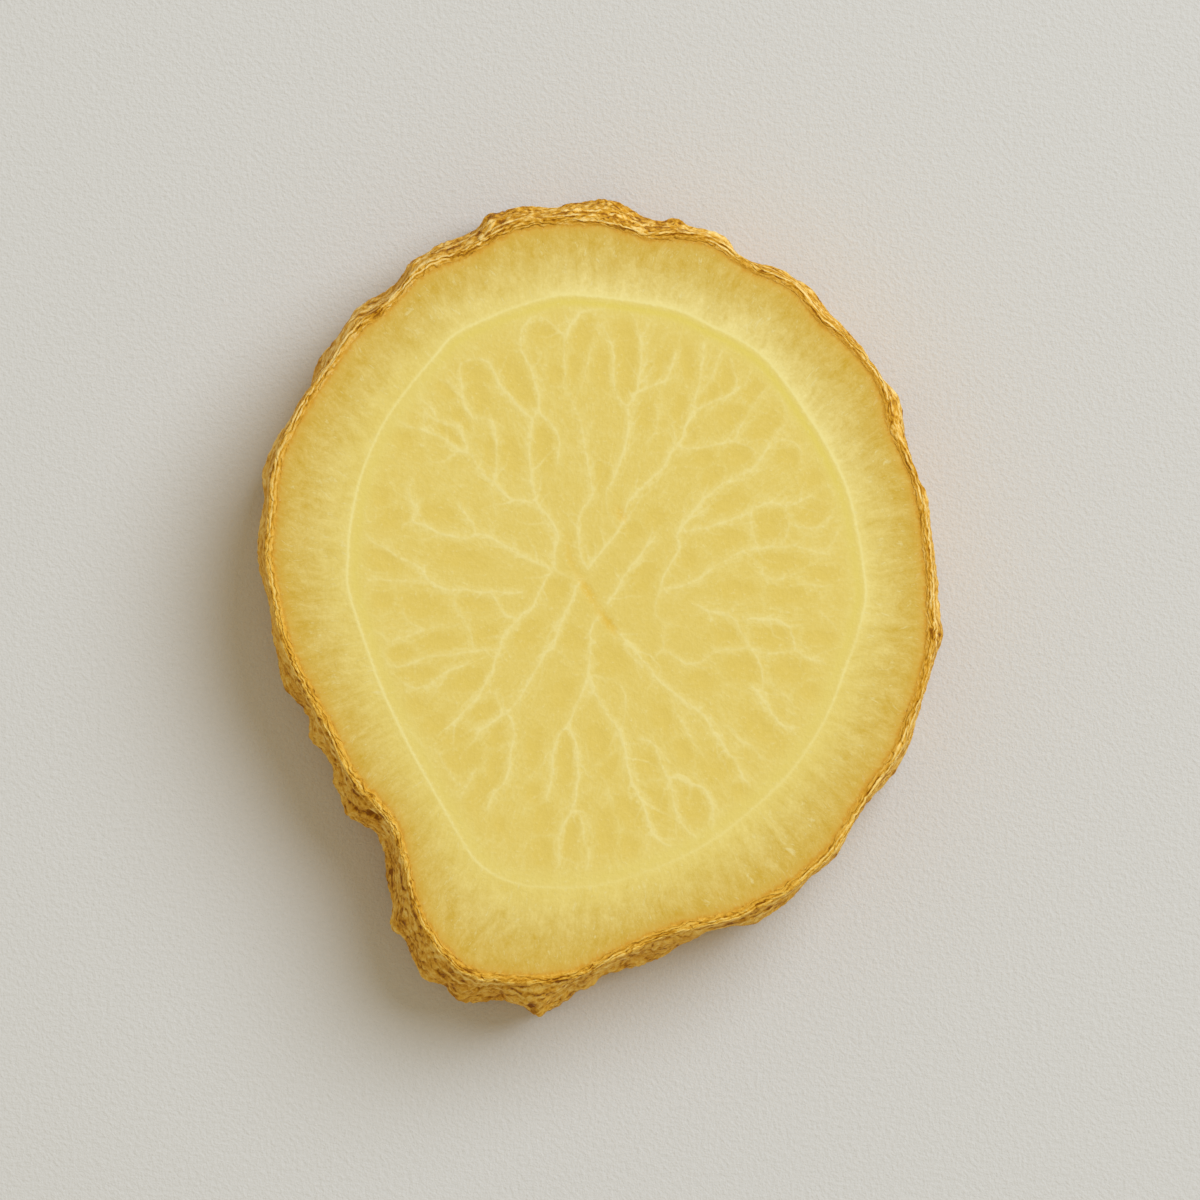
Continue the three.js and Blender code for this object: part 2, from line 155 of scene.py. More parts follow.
# The pale strands, each with how clearly it shows and its points, as x, y, x, y and so on. They
# run outwards, and most branches start on the strand that they leave.
STRANDS = [
    # up and to the left
    (1, [-2.3, 1.85, -2.2, 2.4, -2.2, 3, -2.1, 3.6, -2.5, 4.4, -3.15, 5.2, -3.4, 6.4, -3.55, 7.6,
     -3.45, 8.8, -3.35, 9.4]),
    (0.8, [-3.35, 9.4, -3.9, 9.9, -4.4, 10.4, -4.9, 11, -5.3, 11.7, -5.7, 12.2, -6.3, 12.4, -6.95, 12.1,
     -7, 11.5]),
    (0.9, [-3.35, 9.4, -3.1, 10.3, -3.25, 11.2, -3.6, 12.2, -3.95, 12.8]),
    (0.7, [-3.95, 12.8, -4, 13.5, -3.85, 14.1, -3.4, 14.5, -2.9, 14.45, -2.4, 14.1, -1.8, 13.6]),
    (0.7, [-2.1, 7.2, -2.05, 8.2, -2.3, 9, -2.95, 9.7, -3.1, 10.3]),
    (0.9, [-3.3, 5.2, -3.9, 5.3, -4.5, 5.5, -5.1, 6, -5.7, 6.5, -6.15, 7.1, -6.5, 7.7]),
    (0.9, [-6.5, 7.7, -7.1, 7.95, -7.7, 8.3, -8.3, 8.65, -9, 8.9]),
    (0.8, [-6.5, 7.7, -6.8, 8.4, -7.05, 9, -7.7, 9.15, -8.3, 9.4, -8.8, 9.75]),
    (0.4, [-9.3, 8.95, -9.8, 9.15, -10.2, 9.4]),
    (0.5, [-8.1, 9.35, -8.5, 10, -9.1, 10.5]),
    (0.7, [-5.3, 6.3, -5.15, 7.2, -5.15, 8.1, -5.3, 9, -5.75, 9.45, -6.3, 9.4]),
    (0.8, [-6.3, 9.4, -6.7, 10.1, -6.9, 10.9, -7, 11.6]),
    (0.6, [-6.75, 10.2, -7.2, 10.8, -7.7, 11.4]),
    (0.35, [-5.5, 6.3, -5.35, 5.5, -5.2, 4.6]),
    # straight up
    (0.9, [-0.6, 1.9, -0.9, 2.5, -1.05, 3.2, -1.1, 3.9, -0.9, 4.7, -0.5, 5.3, -0.35, 5.8, -0.55, 6.6,
     -0.7, 7.6, -0.9, 8.9]),
    (0.5, [-0.9, 8.9, -1.1, 9.6, -1.4, 10.4, -1.8, 11.1, -1.8, 12, -1.75, 12.8, -1.8, 13.6]),
    (0.8, [-1.7, 13.4, -1.45, 14.1, -1.1, 14.6, -0.5, 14.85, 0.2, 14.9]),
    (0.35, [-0.9, 11, -0.65, 12.2, -0.4, 13, -0.3, 13.6]),
    (0.9, [0.35, 5.9, 0.8, 6.7, 1.15, 7.6, 1.4, 8.6, 1.45, 9.4, 1.4, 10]),
    (0.7, [1.4, 10, 0.95, 10.4, 0.75, 11.1, 0.65, 12, 0.65, 12.8, 0.4, 13.6, -0.1, 14.2]),
    (1, [1.4, 10, 1.75, 10.7, 1.95, 11.6, 2.1, 12.8, 2, 13.7, 1.55, 14.7]),
    (0.5, [2.1, 13.4, 2.35, 14, 2.6, 14.4]),
    (0.8, [1.75, 10.7, 2.4, 11, 3.1, 11.25, 3.5, 11.8, 3.8, 12.7]),
    (0.4, [2.4, 8.3, 2.75, 8.8, 2.9, 9.5, 2.8, 10.1]),
    # up and to the right
    (0.9, [-0.6, 1.9, -0.1, 2.6, 0.4, 3.25, 0.95, 3.85, 1.2, 4.6, 1.45, 5.2, 2, 5.85, 2.75, 6.6,
     3.4, 7.4, 3.8, 7.95]),
    (0.4, [0.95, 3.85, 0.6, 4.3, 0.3, 5, 0.35, 5.9]),
    (0.9, [3.8, 7.95, 4.1, 8.6, 4.5, 9.4, 4.75, 10.3, 4.95, 11.2, 5.15, 12.2, 5.2, 13.3]),
    (0.7, [4.6, 9.7, 5.3, 10.1, 6, 10.4, 6.7, 10.8, 6.9, 11.3, 6.75, 11.9, 6.55, 12.4]),
    (0.5, [4.95, 10.6, 5.4, 11.2, 5.8, 12.1, 6.2, 12.9]),
    (0.7, [3.8, 7.9, 4.5, 7.9, 5.3, 8.05, 6.1, 8.15, 6.7, 8.3]),
    (0.5, [6.7, 8.3, 7, 9, 7.4, 9.6, 7.8, 10.3, 8.2, 10.8]),
    (0.4, [6.7, 8.3, 7.3, 8.05, 7.75, 7.7, 7.8, 7.2]),
    (0.4, [3.8, 8.1, 3.65, 8.8, 3.6, 9.4]),
    (0.9, [0.4, 0.2, 0.8, 0.85, 1.3, 1.6, 1.8, 2.3, 2.3, 2.95, 2.75, 3.5]),
    (0.9, [3.85, 3.6, 4.3, 4.2, 4.8, 4.9, 5.3, 5.5, 6, 6.05, 6.8, 6.5, 7.5, 6.8, 8, 7.4, 8.5, 8.2]),
    (0.5, [8.5, 8.2, 8.9, 8.8, 9.4, 9.3, 9.2, 10.1, 8.9, 10.8]),
    (0.4, [8.5, 8.2, 9.2, 8.3, 9.9, 8, 10.1, 7.2]),
    # right
    (0.8, [4, 3.8, 4.8, 3.9, 5.6, 4.05, 6.3, 4.3, 7.1, 4.6, 7.8, 4.95, 8.5, 5.2, 9.2, 5.1, 9.9, 5.25,
     10.6, 5.6]),
    (0.5, [7.6, 4.8, 7.5, 4.1, 7.7, 3.4, 8.1, 2.95]),
    (0.5, [9.2, 5.1, 9.45, 4.5, 9.3, 3.7, 8.9, 3]),
    (0.5, [9.4, 4.2, 10.2, 4, 11.1, 4.05, 11.5, 4.5]),
    (0.8, [3.85, 3.6, 3.95, 3, 3.6, 2.2, 3.2, 1.5, 3, 0.9]),
    (0.7, [3, 0.9, 3.8, 1, 4.8, 1.3, 5.5, 1.8, 6.2, 2.25, 7, 2.7, 8, 2.95, 9, 3, 10, 3, 10.8, 2.75,
     11.5, 2.6]),
    (0.5, [11.1, 2.7, 11.6, 3.2, 11.9, 3.8]),
    (0.4, [3, 0.9, 3.5, 0.7, 4, 0.5]),
    (0.5, [3, 0.9, 2.8, 0.2, 2.85, -0.4, 3.2, -0.75, 3.6, -0.9]),
    (0.5, [8, 1.75, 8.5, 1.4, 9.1, 1.4, 9.7, 1.65]),
    (0.5, [9.9, 1.15, 10.5, 1.1, 11.2, 1]),
    (0.8, [4.9, 0.1, 5.5, -0.2, 6.2, -0.3, 6.8, -0.75, 7.2, -1.4, 7.4, -1.9, 7.8, -2.4, 8.1, -3.1,
     8.2, -3.8]),
    (0.4, [6.3, -0.3, 6.8, 0, 7.3, 0.15]),
    (0.9, [7.4, -0.6, 8.2, -0.6, 8.8, -0.65, 9.4, -1, 9.7, -1.6, 9.85, -2.2, 10.4, -2.6, 11.1, -2.7]),
    (0.4, [7.5, -2.1, 8.3, -2.35, 9.1, -2.25, 9.8, -2.15]),
    (0.35, [11, -0.2, 11.5, -0.6, 11.8, -1.1]),
    (0.6, [3.1, -2.1, 3.7, -2.4, 4.3, -2.8, 5, -2.75, 5.6, -2.35, 6.4, -2.15, 7.3, -2.05]),
    (0.35, [5.6, -2.35, 5.65, -1.7, 5.45, -1.1]),
    (0.4, [2.6, -2.75, 3.05, -2.2, 3.2, -1.6, 3.2, -1]),
    # down and to the right
    (1, [0.8, -1.2, 1.4, -1.8, 2.05, -2.55, 2.7, -3.3, 3.4, -4.1, 4.1, -4.65, 4.9, -5.15, 5.5, -5.9,
     6, -6.65, 6.6, -7.6, 7.2, -8.5, 7.5, -8.9]),
    (0.5, [1.15, -1.85, 1.5, -2.4, 2.1, -2.95]),
    (0.8, [7.6, -4, 8.1, -4.45, 8.5, -5.1, 9, -5.8, 9.6, -6.05]),
    (0.35, [8.5, -3.6, 8.8, -4.2, 9.4, -4.5, 9.8, -5.1]),
    (0.4, [3.6, -4.4, 3.9, -5.3, 4.3, -6.2, 4.8, -6.9, 5.2, -7.5]),
    (0.4, [6.4, -5.9, 7, -6.6, 7.6, -7, 8.1, -7.6]),
    (0.8, [2.1, -6.6, 2.6, -6.8, 2.9, -7.4, 3.1, -8, 3.4, -8.5]),
    (0.7, [3.4, -8.5, 3.6, -9.2, 3.8, -10.2, 4.2, -11, 4.8, -11.5]),
    (0.8, [3.4, -8.5, 4, -8.6, 4.6, -8.9, 5.2, -9.05, 5.5, -9.7, 5.7, -10.5, 5.6, -11.2]),
    # straight down
    (1, [-0.1, -0.5, -0.4, -1, -0.5, -1.7, -0.5, -2.5, -0.6, -3.4]),
    (0.9, [-0.6, -3.4, -0.3, -4.15, 0.05, -4.9, 0.5, -5.6, 1, -6.15]),
    (0.4, [1.1, -4, 1.25, -4.8, 1.2, -5.6, 1, -6.15]),
    (1, [1, -6.15, 1.15, -6.9, 1.4, -7.8, 1.55, -8.7, 2, -9.6, 2.3, -10.4, 2.55, -11.2, 3, -11.7,
     3.5, -11.95]),
    (0.4, [2.5, -11.1, 2.35, -11.7, 2.3, -12.3]),
    (0.9, [-0.6, -3.4, -0.75, -4, -1.05, -4.6, -1.3, -5.3, -1.65, -6]),
    (0.7, [-1.65, -6, -2.05, -6.4, -2.25, -7.2, -2.35, -8, -2.45, -8.8, -2.7, -9.6]),
    (0.9, [-1.65, -6, -1.3, -6.6, -1.1, -7.4, -1.1, -8.4, -1.2, -9.3, -1.35, -9.95]),
    (0.7, [-1.35, -9.95, -1.7, -10.7, -2, -11.5, -2.1, -12.2, -2, -12.9]),
    (0.6, [-1.35, -9.95, -0.95, -10.5, -0.75, -11.5, -0.6, -12.4, -0.65, -13.1]),
    (0.35, [-0.6, -3.4, 0.1, -3.5, 0.6, -3.65, 1.1, -4]),
    (0.3, [0.1, -8.5, 0.4, -9, 0.55, -9.7]),
    # down and to the left
    (0.9, [-1, 1.25, -1.3, 0.6, -1.6, -0.2, -1.95, -0.9, -2.2, -1.6, -2.3, -2, -2.75, -2.3,
     -3.05, -2.85, -3.4, -3.5, -3.8, -4.2, -4.3, -4.9, -4.95, -5.4, -5.5, -5.9, -6.2, -6.3]),
    (0.3, [-2.3, -2, -1.9, -2.4, -1.4, -2.9]),
    (0.7, [-4.7, -5.25, -4.3, -5.9, -4.25, -6.6, -4.45, -7.2, -4.55, -8, -4.8, -8.8, -5.3, -9.4,
     -5.65, -10.1]),
    (0.5, [-4.95, -5.4, -5, -4.9, -5.25, -4.3]),
    (0.9, [-2.3, 1.85, -2.7, 1.4, -3, 0.7, -3.4, 0.05, -4, -0.45, -4.5, -1.1, -4.9, -1.8, -5.2, -2.5,
     -5.5, -3.4, -5.9, -4.2, -6.6, -5, -7.2, -5.6, -7.7, -6.1]),
    (0.4, [-6.2, -8.1, -6.6, -8.9, -7, -9.7]),
    (0.5, [-7.1, -8.9, -7.6, -8.3, -7.9, -7.7, -8.3, -7.1]),
    (0.5, [-8.8, -7, -9.3, -6.4, -9.8, -6]),
    (0.7, [-5.1, -2.2, -5.8, -2.1, -6.6, -2.3, -7.5, -2.45, -8.5, -2.5, -9.3, -2.75, -10, -3,
     -10.6, -2.75, -10.9, -2.1]),
    (0.6, [-6.6, -2.8, -7.4, -3.1, -8, -3.5, -8.6, -3.9, -9.2, -4.05, -9.8, -3.8]),
    (0.35, [-8, -3.6, -8.3, -4.4, -8.8, -4.9]),
    # left
    (0.8, [-4.2, -0.6, -4.7, -0.4, -5.1, 0.1, -5.5, 0.8]),
    (0.8, [-3.9, 0.75, -4.7, 0.7, -5.5, 0.8, -6.5, 0.85, -7.4, 0.85, -8, 1.05, -8.5, 1.3, -8.9, 1.8,
     -9.5, 2.2, -10.2, 2.6, -10.9, 3, -11.4, 3.25, -11.7, 3.6]),
    (0.6, [-8.5, 1.3, -9.3, 1.3, -10.2, 1.35, -11, 1.4, -11.6, 1.3]),
    (0.5, [-6.3, -2.2, -6.45, -1.4, -6.7, -0.8, -7.1, -0.3, -7.3, 0.3]),
    (0.35, [-6.8, -0.8, -7.6, -0.95, -8.3, -0.95, -8.8, -1.15]),
    (0.6, [-8.8, -1.15, -9.3, -0.85, -9.7, -0.5, -9.95, -0.1]),
    (0.6, [-8.8, -1.15, -9.4, -1.45, -10.1, -1.6, -10.6, -1.75, -10.9, -1.3]),
    (1, [-2.3, 1.85, -3, 2.15, -4, 2.6, -4.8, 3.05, -5.6, 3.45, -6.2, 3.65]),
    (1, [-6.2, 3.65, -6.7, 3.4, -7.4, 3.55, -8, 3.7, -8.6, 4, -9.4, 4.25]),
    (0.8, [-6.2, 3.65, -6.35, 4.15, -6.7, 4.6, -7.1, 5.1]),
    (0.7, [-9.4, 4.25, -9.3, 4.8, -9.5, 5.4, -9.7, 6]),
    (0.6, [-9.4, 4.25, -9.15, 4.7, -9.1, 5.2]),
    (0.6, [-9.4, 4.25, -9.9, 4.1]),
    (0.4, [-2.3, 1.85, -1.7, 1.6, -1, 1.25]),
    # across the ring
    (0.9, [-8.4, 12.4, -7.9, 13.2, -7.55, 14, -7.25, 14.7]),
    (0.4, [-7.9, -9.9, -8.4, -10.5, -8.9, -11.2]),
]

# The crevices of the skin, each with how deep it is, how wide it is, and its points. The material
# darkens them as painted shade.
CREVICES = [
    (1, 0.1, [(-11.6, -10.25), (-11.3, -10.45), (-11.05, -10.6)]),
    (0.5, 0.08, [(-12.5, -9.1), (-12.05, -9.5), (-11.75, -9.9)]),
    (0.5, 0.08, [(-12.75, -9.6), (-12.35, -9.95), (-12, -10.3)]),
    (0.9, 0.12, [(-3.5, -19.95), (-3.3, -20.05)]),
    (0.5, 0.1, [(-0.7, -17.8), (-0.4, -18.1)]),
    (0.7, 0.1, [(-5.6, 19.5), (-5.2, 19.75), (-4.8, 19.8)]),
    (0.8, 0.06, [(16.5, -1.1), (16.6, -1.3), (16.6, -1.55)]),
    (0.35, 0.05, [(16.7, -1.25), (16.9, -1.3), (17, -1.45), (16.9, -1.6), (16.7, -1.65)]),
    (0.5, 0.1, [(-6.7, -19.75), (-6.2, -19.95)]),
]
# Where the wall bulges or is hollow at its widest: the middle, the radius and the push outwards.
LUMPS = [
    (-12.6, 14.4, 0.9, 0.3), (-16.1, 8.9, 0.4, 0.14), (-17, 6.5, 0.6, 0.22), (-17.1, 4.5, 0.7, 0.14),
    (-16.5, -1.5, 1.1, 0.24), (-14.4, -6.7, 0.6, 0.3), (-13.3, -8.8, 0.4, 0.18),
    (-12.6, -10.2, 0.5, 0.2), (-11.2, -11.7, 0.5, 0.06), (-10.8, -14.4, 0.6, 0.2),
    (-10.4, -15.9, 0.6, 0.35), (-7.7, -19.1, 0.4, -0.25), (-7.1, -19.7, 0.5, 0.12),
    (-4.4, -19.7, 0.5, 0.15), (-3.1, -20.4, 0.6, 0.3), (-0.5, -18.8, 0.6, 0.35),
    (0.8, -18.4, 0.4, 0.14), (3.2, -17.1, 0.8, 0.25), (4.7, -16.6, 0.8, 0.42), (5.9, -16.2, 0.5, 0.14),
    (7.6, -15.7, 0.6, 0.12), (9.8, -14, 0.7, 0.17), (12.2, -11.3, 0.9, -0.12), (15.7, -5.9, 0.7, -0.28),
    (15.5, 7.2, 0.9, -0.15), (10.5, 15.9, 0.9, 0.22), (7.8, 17.4, 1, -0.15), (3.8, 19.5, 0.4, 0.22),
    (2.4, 19.3, 0.4, 0.12), (-1.5, 20.1, 0.5, 0.15), (-5.6, 19.4, 0.5, 0.3), (-10.9, 16, 0.6, -0.1),
    (16.85, -1.45, 0.45, 0.1), (16.8, -1.05, 0.25, 0.12), (16.7, -1.85, 0.25, 0.1),
    (17, 0.5, 0.6, -0.12), (16.6, 4.4, 0.9, -0.15), (-1.6, -19.6, 0.4, 0.15),
]


# ------------ drawing with lines

def angle_of(points):
    return np.arctan2(points[:, 1], points[:, 0]) % TURN


def smoothed(points, step, closed=False):
    """Points about a step apart along a smooth curve through points, which may carry numbers
    after their x and y."""
    given = np.array(points, float)
    if closed:
        given = np.vstack([given[-1:], given, given[:2]])
    else:
        given = np.vstack([2 * given[:1] - given[1:2], given, 2 * given[-1:] - given[-2:-1]])
    pieces = []
    for before, a, b, after in zip(given, given[1:], given[2:], given[3:]):
        count = max(1, round(math.dist(a[:2], b[:2]) / step))
        t = np.arange(count)[:, None] / count
        linear = (b - before) * t
        square = (2 * before - 5 * a + 4 * b - after) * t**2
        cube = (3 * a - before - 3 * b + after) * t**3
        pieces.append(0.5 * (2 * a + linear + square + cube))
    pieces.append(given[-2:-1])
    return np.vstack(pieces)


def strand_line(vigour, points, step, rng):
    """A strand as rows of x, y and vigour. It wanders a little, and its vigour comes and goes and
    fades a little outwards."""
    line = smoothed(np.reshape(points, (-1, 2)), step)
    wander = rng.normal(0, 1, (len(line) + 4, 3))
    wander = sum(wander[shift : shift + len(line)] for shift in range(5)) / math.sqrt(5)
    held = np.minimum(1, 0.4 * np.minimum(np.arange(len(line)), np.arange(len(line))[::-1]))
    line = line + WANDER * held[:, None] * wander[:, :2]
    vigour = vigour * np.linspace(1, 0.7, len(line)) * np.clip(1 + 0.22 * wander[:, 2], 0.4, 1.4)
    return np.column_stack([line, vigour])


def grow_twigs(strands, rng):
    """Fine side branches. They leave the strands at a slant and lean out towards the ring."""
    twigs = []
    for line in strands:
        walked = np.concatenate([[0], np.hypot(*np.diff(line[:, :2], axis=0).T).cumsum()])
        for at in np.arange(rng.uniform(0.1, 0.4), walked[-1], TWIG_SPACING):
            i = min(np.searchsorted(walked, at), len(line) - 2)
            start, vigour = line[i, :2], line[i, 2]
            along = line[i + 1, :2] - start
            outward = math.atan2(start[1], start[0])
            heading = math.atan2(along[1], along[0])
            heading += rng.choice([-1, 1]) * math.radians(rng.uniform(*TWIG_SLANT))
            points = [start]
            length = rng.uniform(*TWIG_LENGTH) * (0.5 + 0.5 * vigour)
            for _ in range(round(length / TWIG_STEP)):
                heading += 0.12 * math.remainder(outward - heading, TURN) + rng.normal(0, 0.22)
                ahead = np.array([math.cos(heading), math.sin(heading)])
                points.append(points[-1] + TWIG_STEP * ahead)
            strength = vigour * rng.uniform(0.35, 1.0) * np.linspace(1, 0.2, len(points))
            if len(points) > 2:
                twigs.append(np.column_stack([points, strength]))
    return twigs


def nearest_line(points, lines, reach):
    """The distance from each point to the nearest line, or reach where none is as near, and
    what that line carries there."""
    distance = np.full(len(points), float(reach))
    carried = np.zeros((len(points), lines[0].shape[1] - 2))
    for line in lines:
        low, high = line[:, :2].min(0) - reach, line[:, :2].max(0) + reach
        near = np.flatnonzero(((points > low) & (points < high)).all(1))
        start, step = line[:-1], np.diff(line, axis=0)
        to_point = points[near, None] - start[:, :2]
        share = (to_point * step[:, :2]).sum(2) / np.maximum((step[:, :2] ** 2).sum(1), 1e-9)
        share = np.clip(share, 0, 1)
        away = to_point - share[..., None] * step[:, :2]
        gap = np.hypot(away[..., 0], away[..., 1])
        best = gap.argmin(1)
        row = np.arange(len(near))
        gap = gap[row, best]
        closer = gap < distance[near]
        value = start[best, 2:] + share[row, best][:, None] * step[best, 2:]
        distance[near[closer]] = gap[closer]
        carried[near[closer]] = value[closer]
    return distance, carried


def bank(points, lines, width, reach=1.0):
    """What the nearest line carries, fading out about two widths away from it."""
    gap, carried = nearest_line(points, lines, reach)
    return carried[:, 0] * np.exp(-((gap / width) ** 2))


def glow(points, lines, width):
    """A soft halo along the lines, as strong as the strongest line at each point."""
    return np.max([bank(points, [line], width, 2.5 * width) for line in lines], axis=0)


def cell_measures(points):
    """How far each point is out of its golden cell, 0 in the middle and 1 at the edge, and how
    much further it is out of the next one."""
    first, second = np.full((2, len(points)), 3.0)
    for x, y, length, width, turn in CELLS:
        c, s = math.cos(math.radians(turn)), math.sin(math.radians(turn))
        dx, dy = points[:, 0] - x, points[:, 1] - y
        along, across = (dx * c + dy * s) / length, (dy * c - dx * s) / width
        out = (abs(along) ** 2.4 + abs(across) ** 2.4) ** (1 / 2.4)
        second = np.minimum(second, np.maximum(first, out))
        first = np.minimum(first, out)
    return first, second - first


# ------------ the wall

def cad_rows():
    """The CAD wall, row by row from the bottom: each row's height, and its radius at even
    angles."""
    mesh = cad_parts[NODE].data
    corners = np.empty(len(mesh.vertices) * 3)
    mesh.vertices.foreach_get("co", corners)
    corners = corners.reshape(-1, 3) / MM
    corners = corners[np.hypot(corners[:, 0], corners[:, 1]) > 1]  # not in the middle of a face
    heights = np.unique(corners[:, 2].round(2))
    rows = []
    for height in heights:
        row = corners[abs(corners[:, 2] - height) < 0.02]
        radius = np.hypot(row[:, 0], row[:, 1])
        rows.append(rounded(np.interp(EVEN_ANGLES, angle_of(row), radius, period=TURN)))
    return heights, np.array(rows)


def rounded(row, passes=2):
    """A closed row of radii with its sharp corners rounded off."""
    for _ in range(passes):
        row = (np.roll(row, 1) + 2 * row + np.roll(row, -1)) / 4
    return row


def wall_radius(height):
    """The CAD wall's radius at each column, at one height."""
    upper = int(np.clip(np.searchsorted(HEIGHTS, height), 1, len(HEIGHTS) - 1))
    share = (height - HEIGHTS[upper - 1]) / (HEIGHTS[upper] - HEIGHTS[upper - 1])
    row = ROWS[upper - 1] * (1 - share) + ROWS[upper] * share
    return np.interp(ANGLES, EVEN_ANGLES, row, period=TURN)


def even_columns():
    """The angle and the place of each column, evenly spaced round the widest outline, and the
    length of that outline."""
    widest = ROWS.max(0)
    outline = np.column_stack([widest * np.cos(EVEN_ANGLES), widest * np.sin(EVEN_ANGLES)])
    sides = np.hypot(*(np.roll(outline, -1, 0) - outline).T)
    walked = np.concatenate([[0], sides.cumsum()])
    place = np.linspace(0, walked[-1], COLUMNS, endpoint=False)
    return np.interp(place, walked, np.append(EVEN_ANGLES, TURN)), place, walked[-1]


EVEN_ANGLES = np.linspace(0, TURN, EVEN, endpoint=False)
HEIGHTS, ROWS = cad_rows()
ANGLES, PLACE, PERIMETER = even_columns()
OUTWARD = np.column_stack([np.cos(ANGLES), np.sin(ANGLES)])
# How far the wall leans out at each column, from 0 where it is upright to 1
LEAN = np.clip((ROWS.max(0) - ROWS[-1] - 0.2) / 0.7, 0, 1)
LEAN = np.interp(ANGLES, EVEN_ANGLES, LEAN, period=TURN)


def fold_at(layer):
    """A fold is a layer with the wall's part of it shortened. The wrinkles are drawn in folds, so
    they are closer together on the cut edge than down the wall."""
    return np.where(layer > SKIN, SKIN + STRETCH * (layer - SKIN), layer)


def ripples(rng, count, along, across):
    """A random function of place and fold that closes round the wall. along and across are the
    shortest and longest wave, in mm."""
    turns = rng.integers(PERIMETER // along[1], PERIMETER // along[0] + 1, count)
    pitch = rng.choice([-1, 1], count) * TURN / rng.uniform(*across, count)
    phase = rng.uniform(0, TURN, count)

    def value(place, fold):
        total = 0
        for n, k, p in zip(turns, pitch, phase):
            total = total + np.cos(TURN * n * place / PERIMETER + k * fold + p)
        return total / math.sqrt(count / 2)

    return value


class Skin:
    """The relief of the skin. A place is a distance round the wall. A layer is a distance over
    the skin from the edge of the flesh: out over the cut edge, then down the wall."""

    def __init__(self):
        rng = np.random.default_rng(SKIN_SEED)
        self.swell = ripples(rng, 12, (4, 14), (1.5, 4))
        self.drift = ripples(rng, 14, (2.5, 9), (0.9, 3))
        self.bend = ripples(rng, 14, (1.5, 5), (0.6, 2))
        self.strength = ripples(rng, 14, (1.2, 5), (0.4, 1.5))
        self.other = ripples(rng, 14, (1.0, 4), (0.4, 1.5))
        self.knots = ripples(rng, 30, (0.5, 1.6), (0.15, 0.6))

    def crests(self, place, fold, pitch, extra, push):
        """Wrinkles a pitch apart, from 0 in a furrow to 1. They climb by some extra pitches on
        the way round, so that two sets cross at a slant."""
        level = fold / pitch + extra * place / PERIMETER + push
        return 1 - abs(2 * (level % 1) - 1) ** 2.4

    def ridge(self, place, layer):
        """0 in a furrow, and 1 on the crest of a wrinkle."""
        fold = fold_at(layer)
        drift, bend = self.drift(place, fold), self.bend(place, fold)
        first = self.crests(place, fold, 0.2, 60, 0.8 * drift)
        second = self.crests(place, fold, 0.26, -90, 0.5 * bend - 0.6 * drift)
        first = first * np.clip(0.8 + 0.25 * self.strength(place, fold), 0.3, 1)
        second = second * np.clip(0.6 + 0.35 * self.other(place, fold), 0, 1)
        return np.maximum(first, second)

    def height(self, place, layer):
        """How far the skin stands out, in mm. It is smoother where the wall is upright."""
        fold = fold_at(layer)
        on_wall = np.clip((layer - SKIN) / 0.8, 0, 1)
        lean = np.interp(place, PLACE, LEAN, period=PERIMETER)
        big = 0.07 * on_wall * self.swell(place, fold)
        big += (0.006 + 0.03 * on_wall * (0.3 + 0.7 * lean)) * self.knots(place, fold)
        return big + (0.045 + 0.04 * lean) * (self.ridge(place, layer) - 0.8) + FULLER * on_wall


def dent_at(corners):
    """How far each corner is sunk into a crevice of the skin: 0 outside, 1 deep inside. They
    are near the top of the wall."""
    deepest = np.zeros(len(corners))
    for depth, width, points in CREVICES:
        gap, _ = nearest_line(corners[:, :2], [smoothed(points, 0.1)], 4 * width)
        deepest = np.maximum(deepest, depth * np.exp(-((gap / width) ** 2)))
    return deepest * np.clip((corners[:, 2] - 2.5) / 1.5, 0, 1)


def bulge_at(corners):
    """How far each corner of the wall is pushed outwards by the lumps, in mm."""
    total = np.zeros(len(corners))
    for x, y, radius, push in LUMPS:
        away = np.hypot(corners[:, 0] - x, corners[:, 1] - y)
        total += push * np.exp(-((away / radius) ** 2))
    return total * np.exp(-(((corners[:, 2] - 0.5 * THICKNESS) / 2.2) ** 2))


# ------------ the mesh

def row_faces(upper, lower):
    """The triangles between two closed rows of corners. They face outward when the upper row
    is nearer to the viewer and both run counter-clockwise."""
    after_upper, after_lower = np.roll(upper, -1), np.roll(lower, -1)
    return np.vstack([np.column_stack([upper, lower, after_upper]),
                      np.column_stack([after_upper, lower, after_lower])])


def is_inside(points, outline, margin=0.0):
    """Whether points lie inside an outline by more than a margin. The outline goes once round
    the middle of the slice."""
    reach = np.interp(angle_of(points), angle_of(outline), np.hypot(*outline[:, :2].T),
                      period=TURN)
    return np.hypot(*points.T) < reach - margin


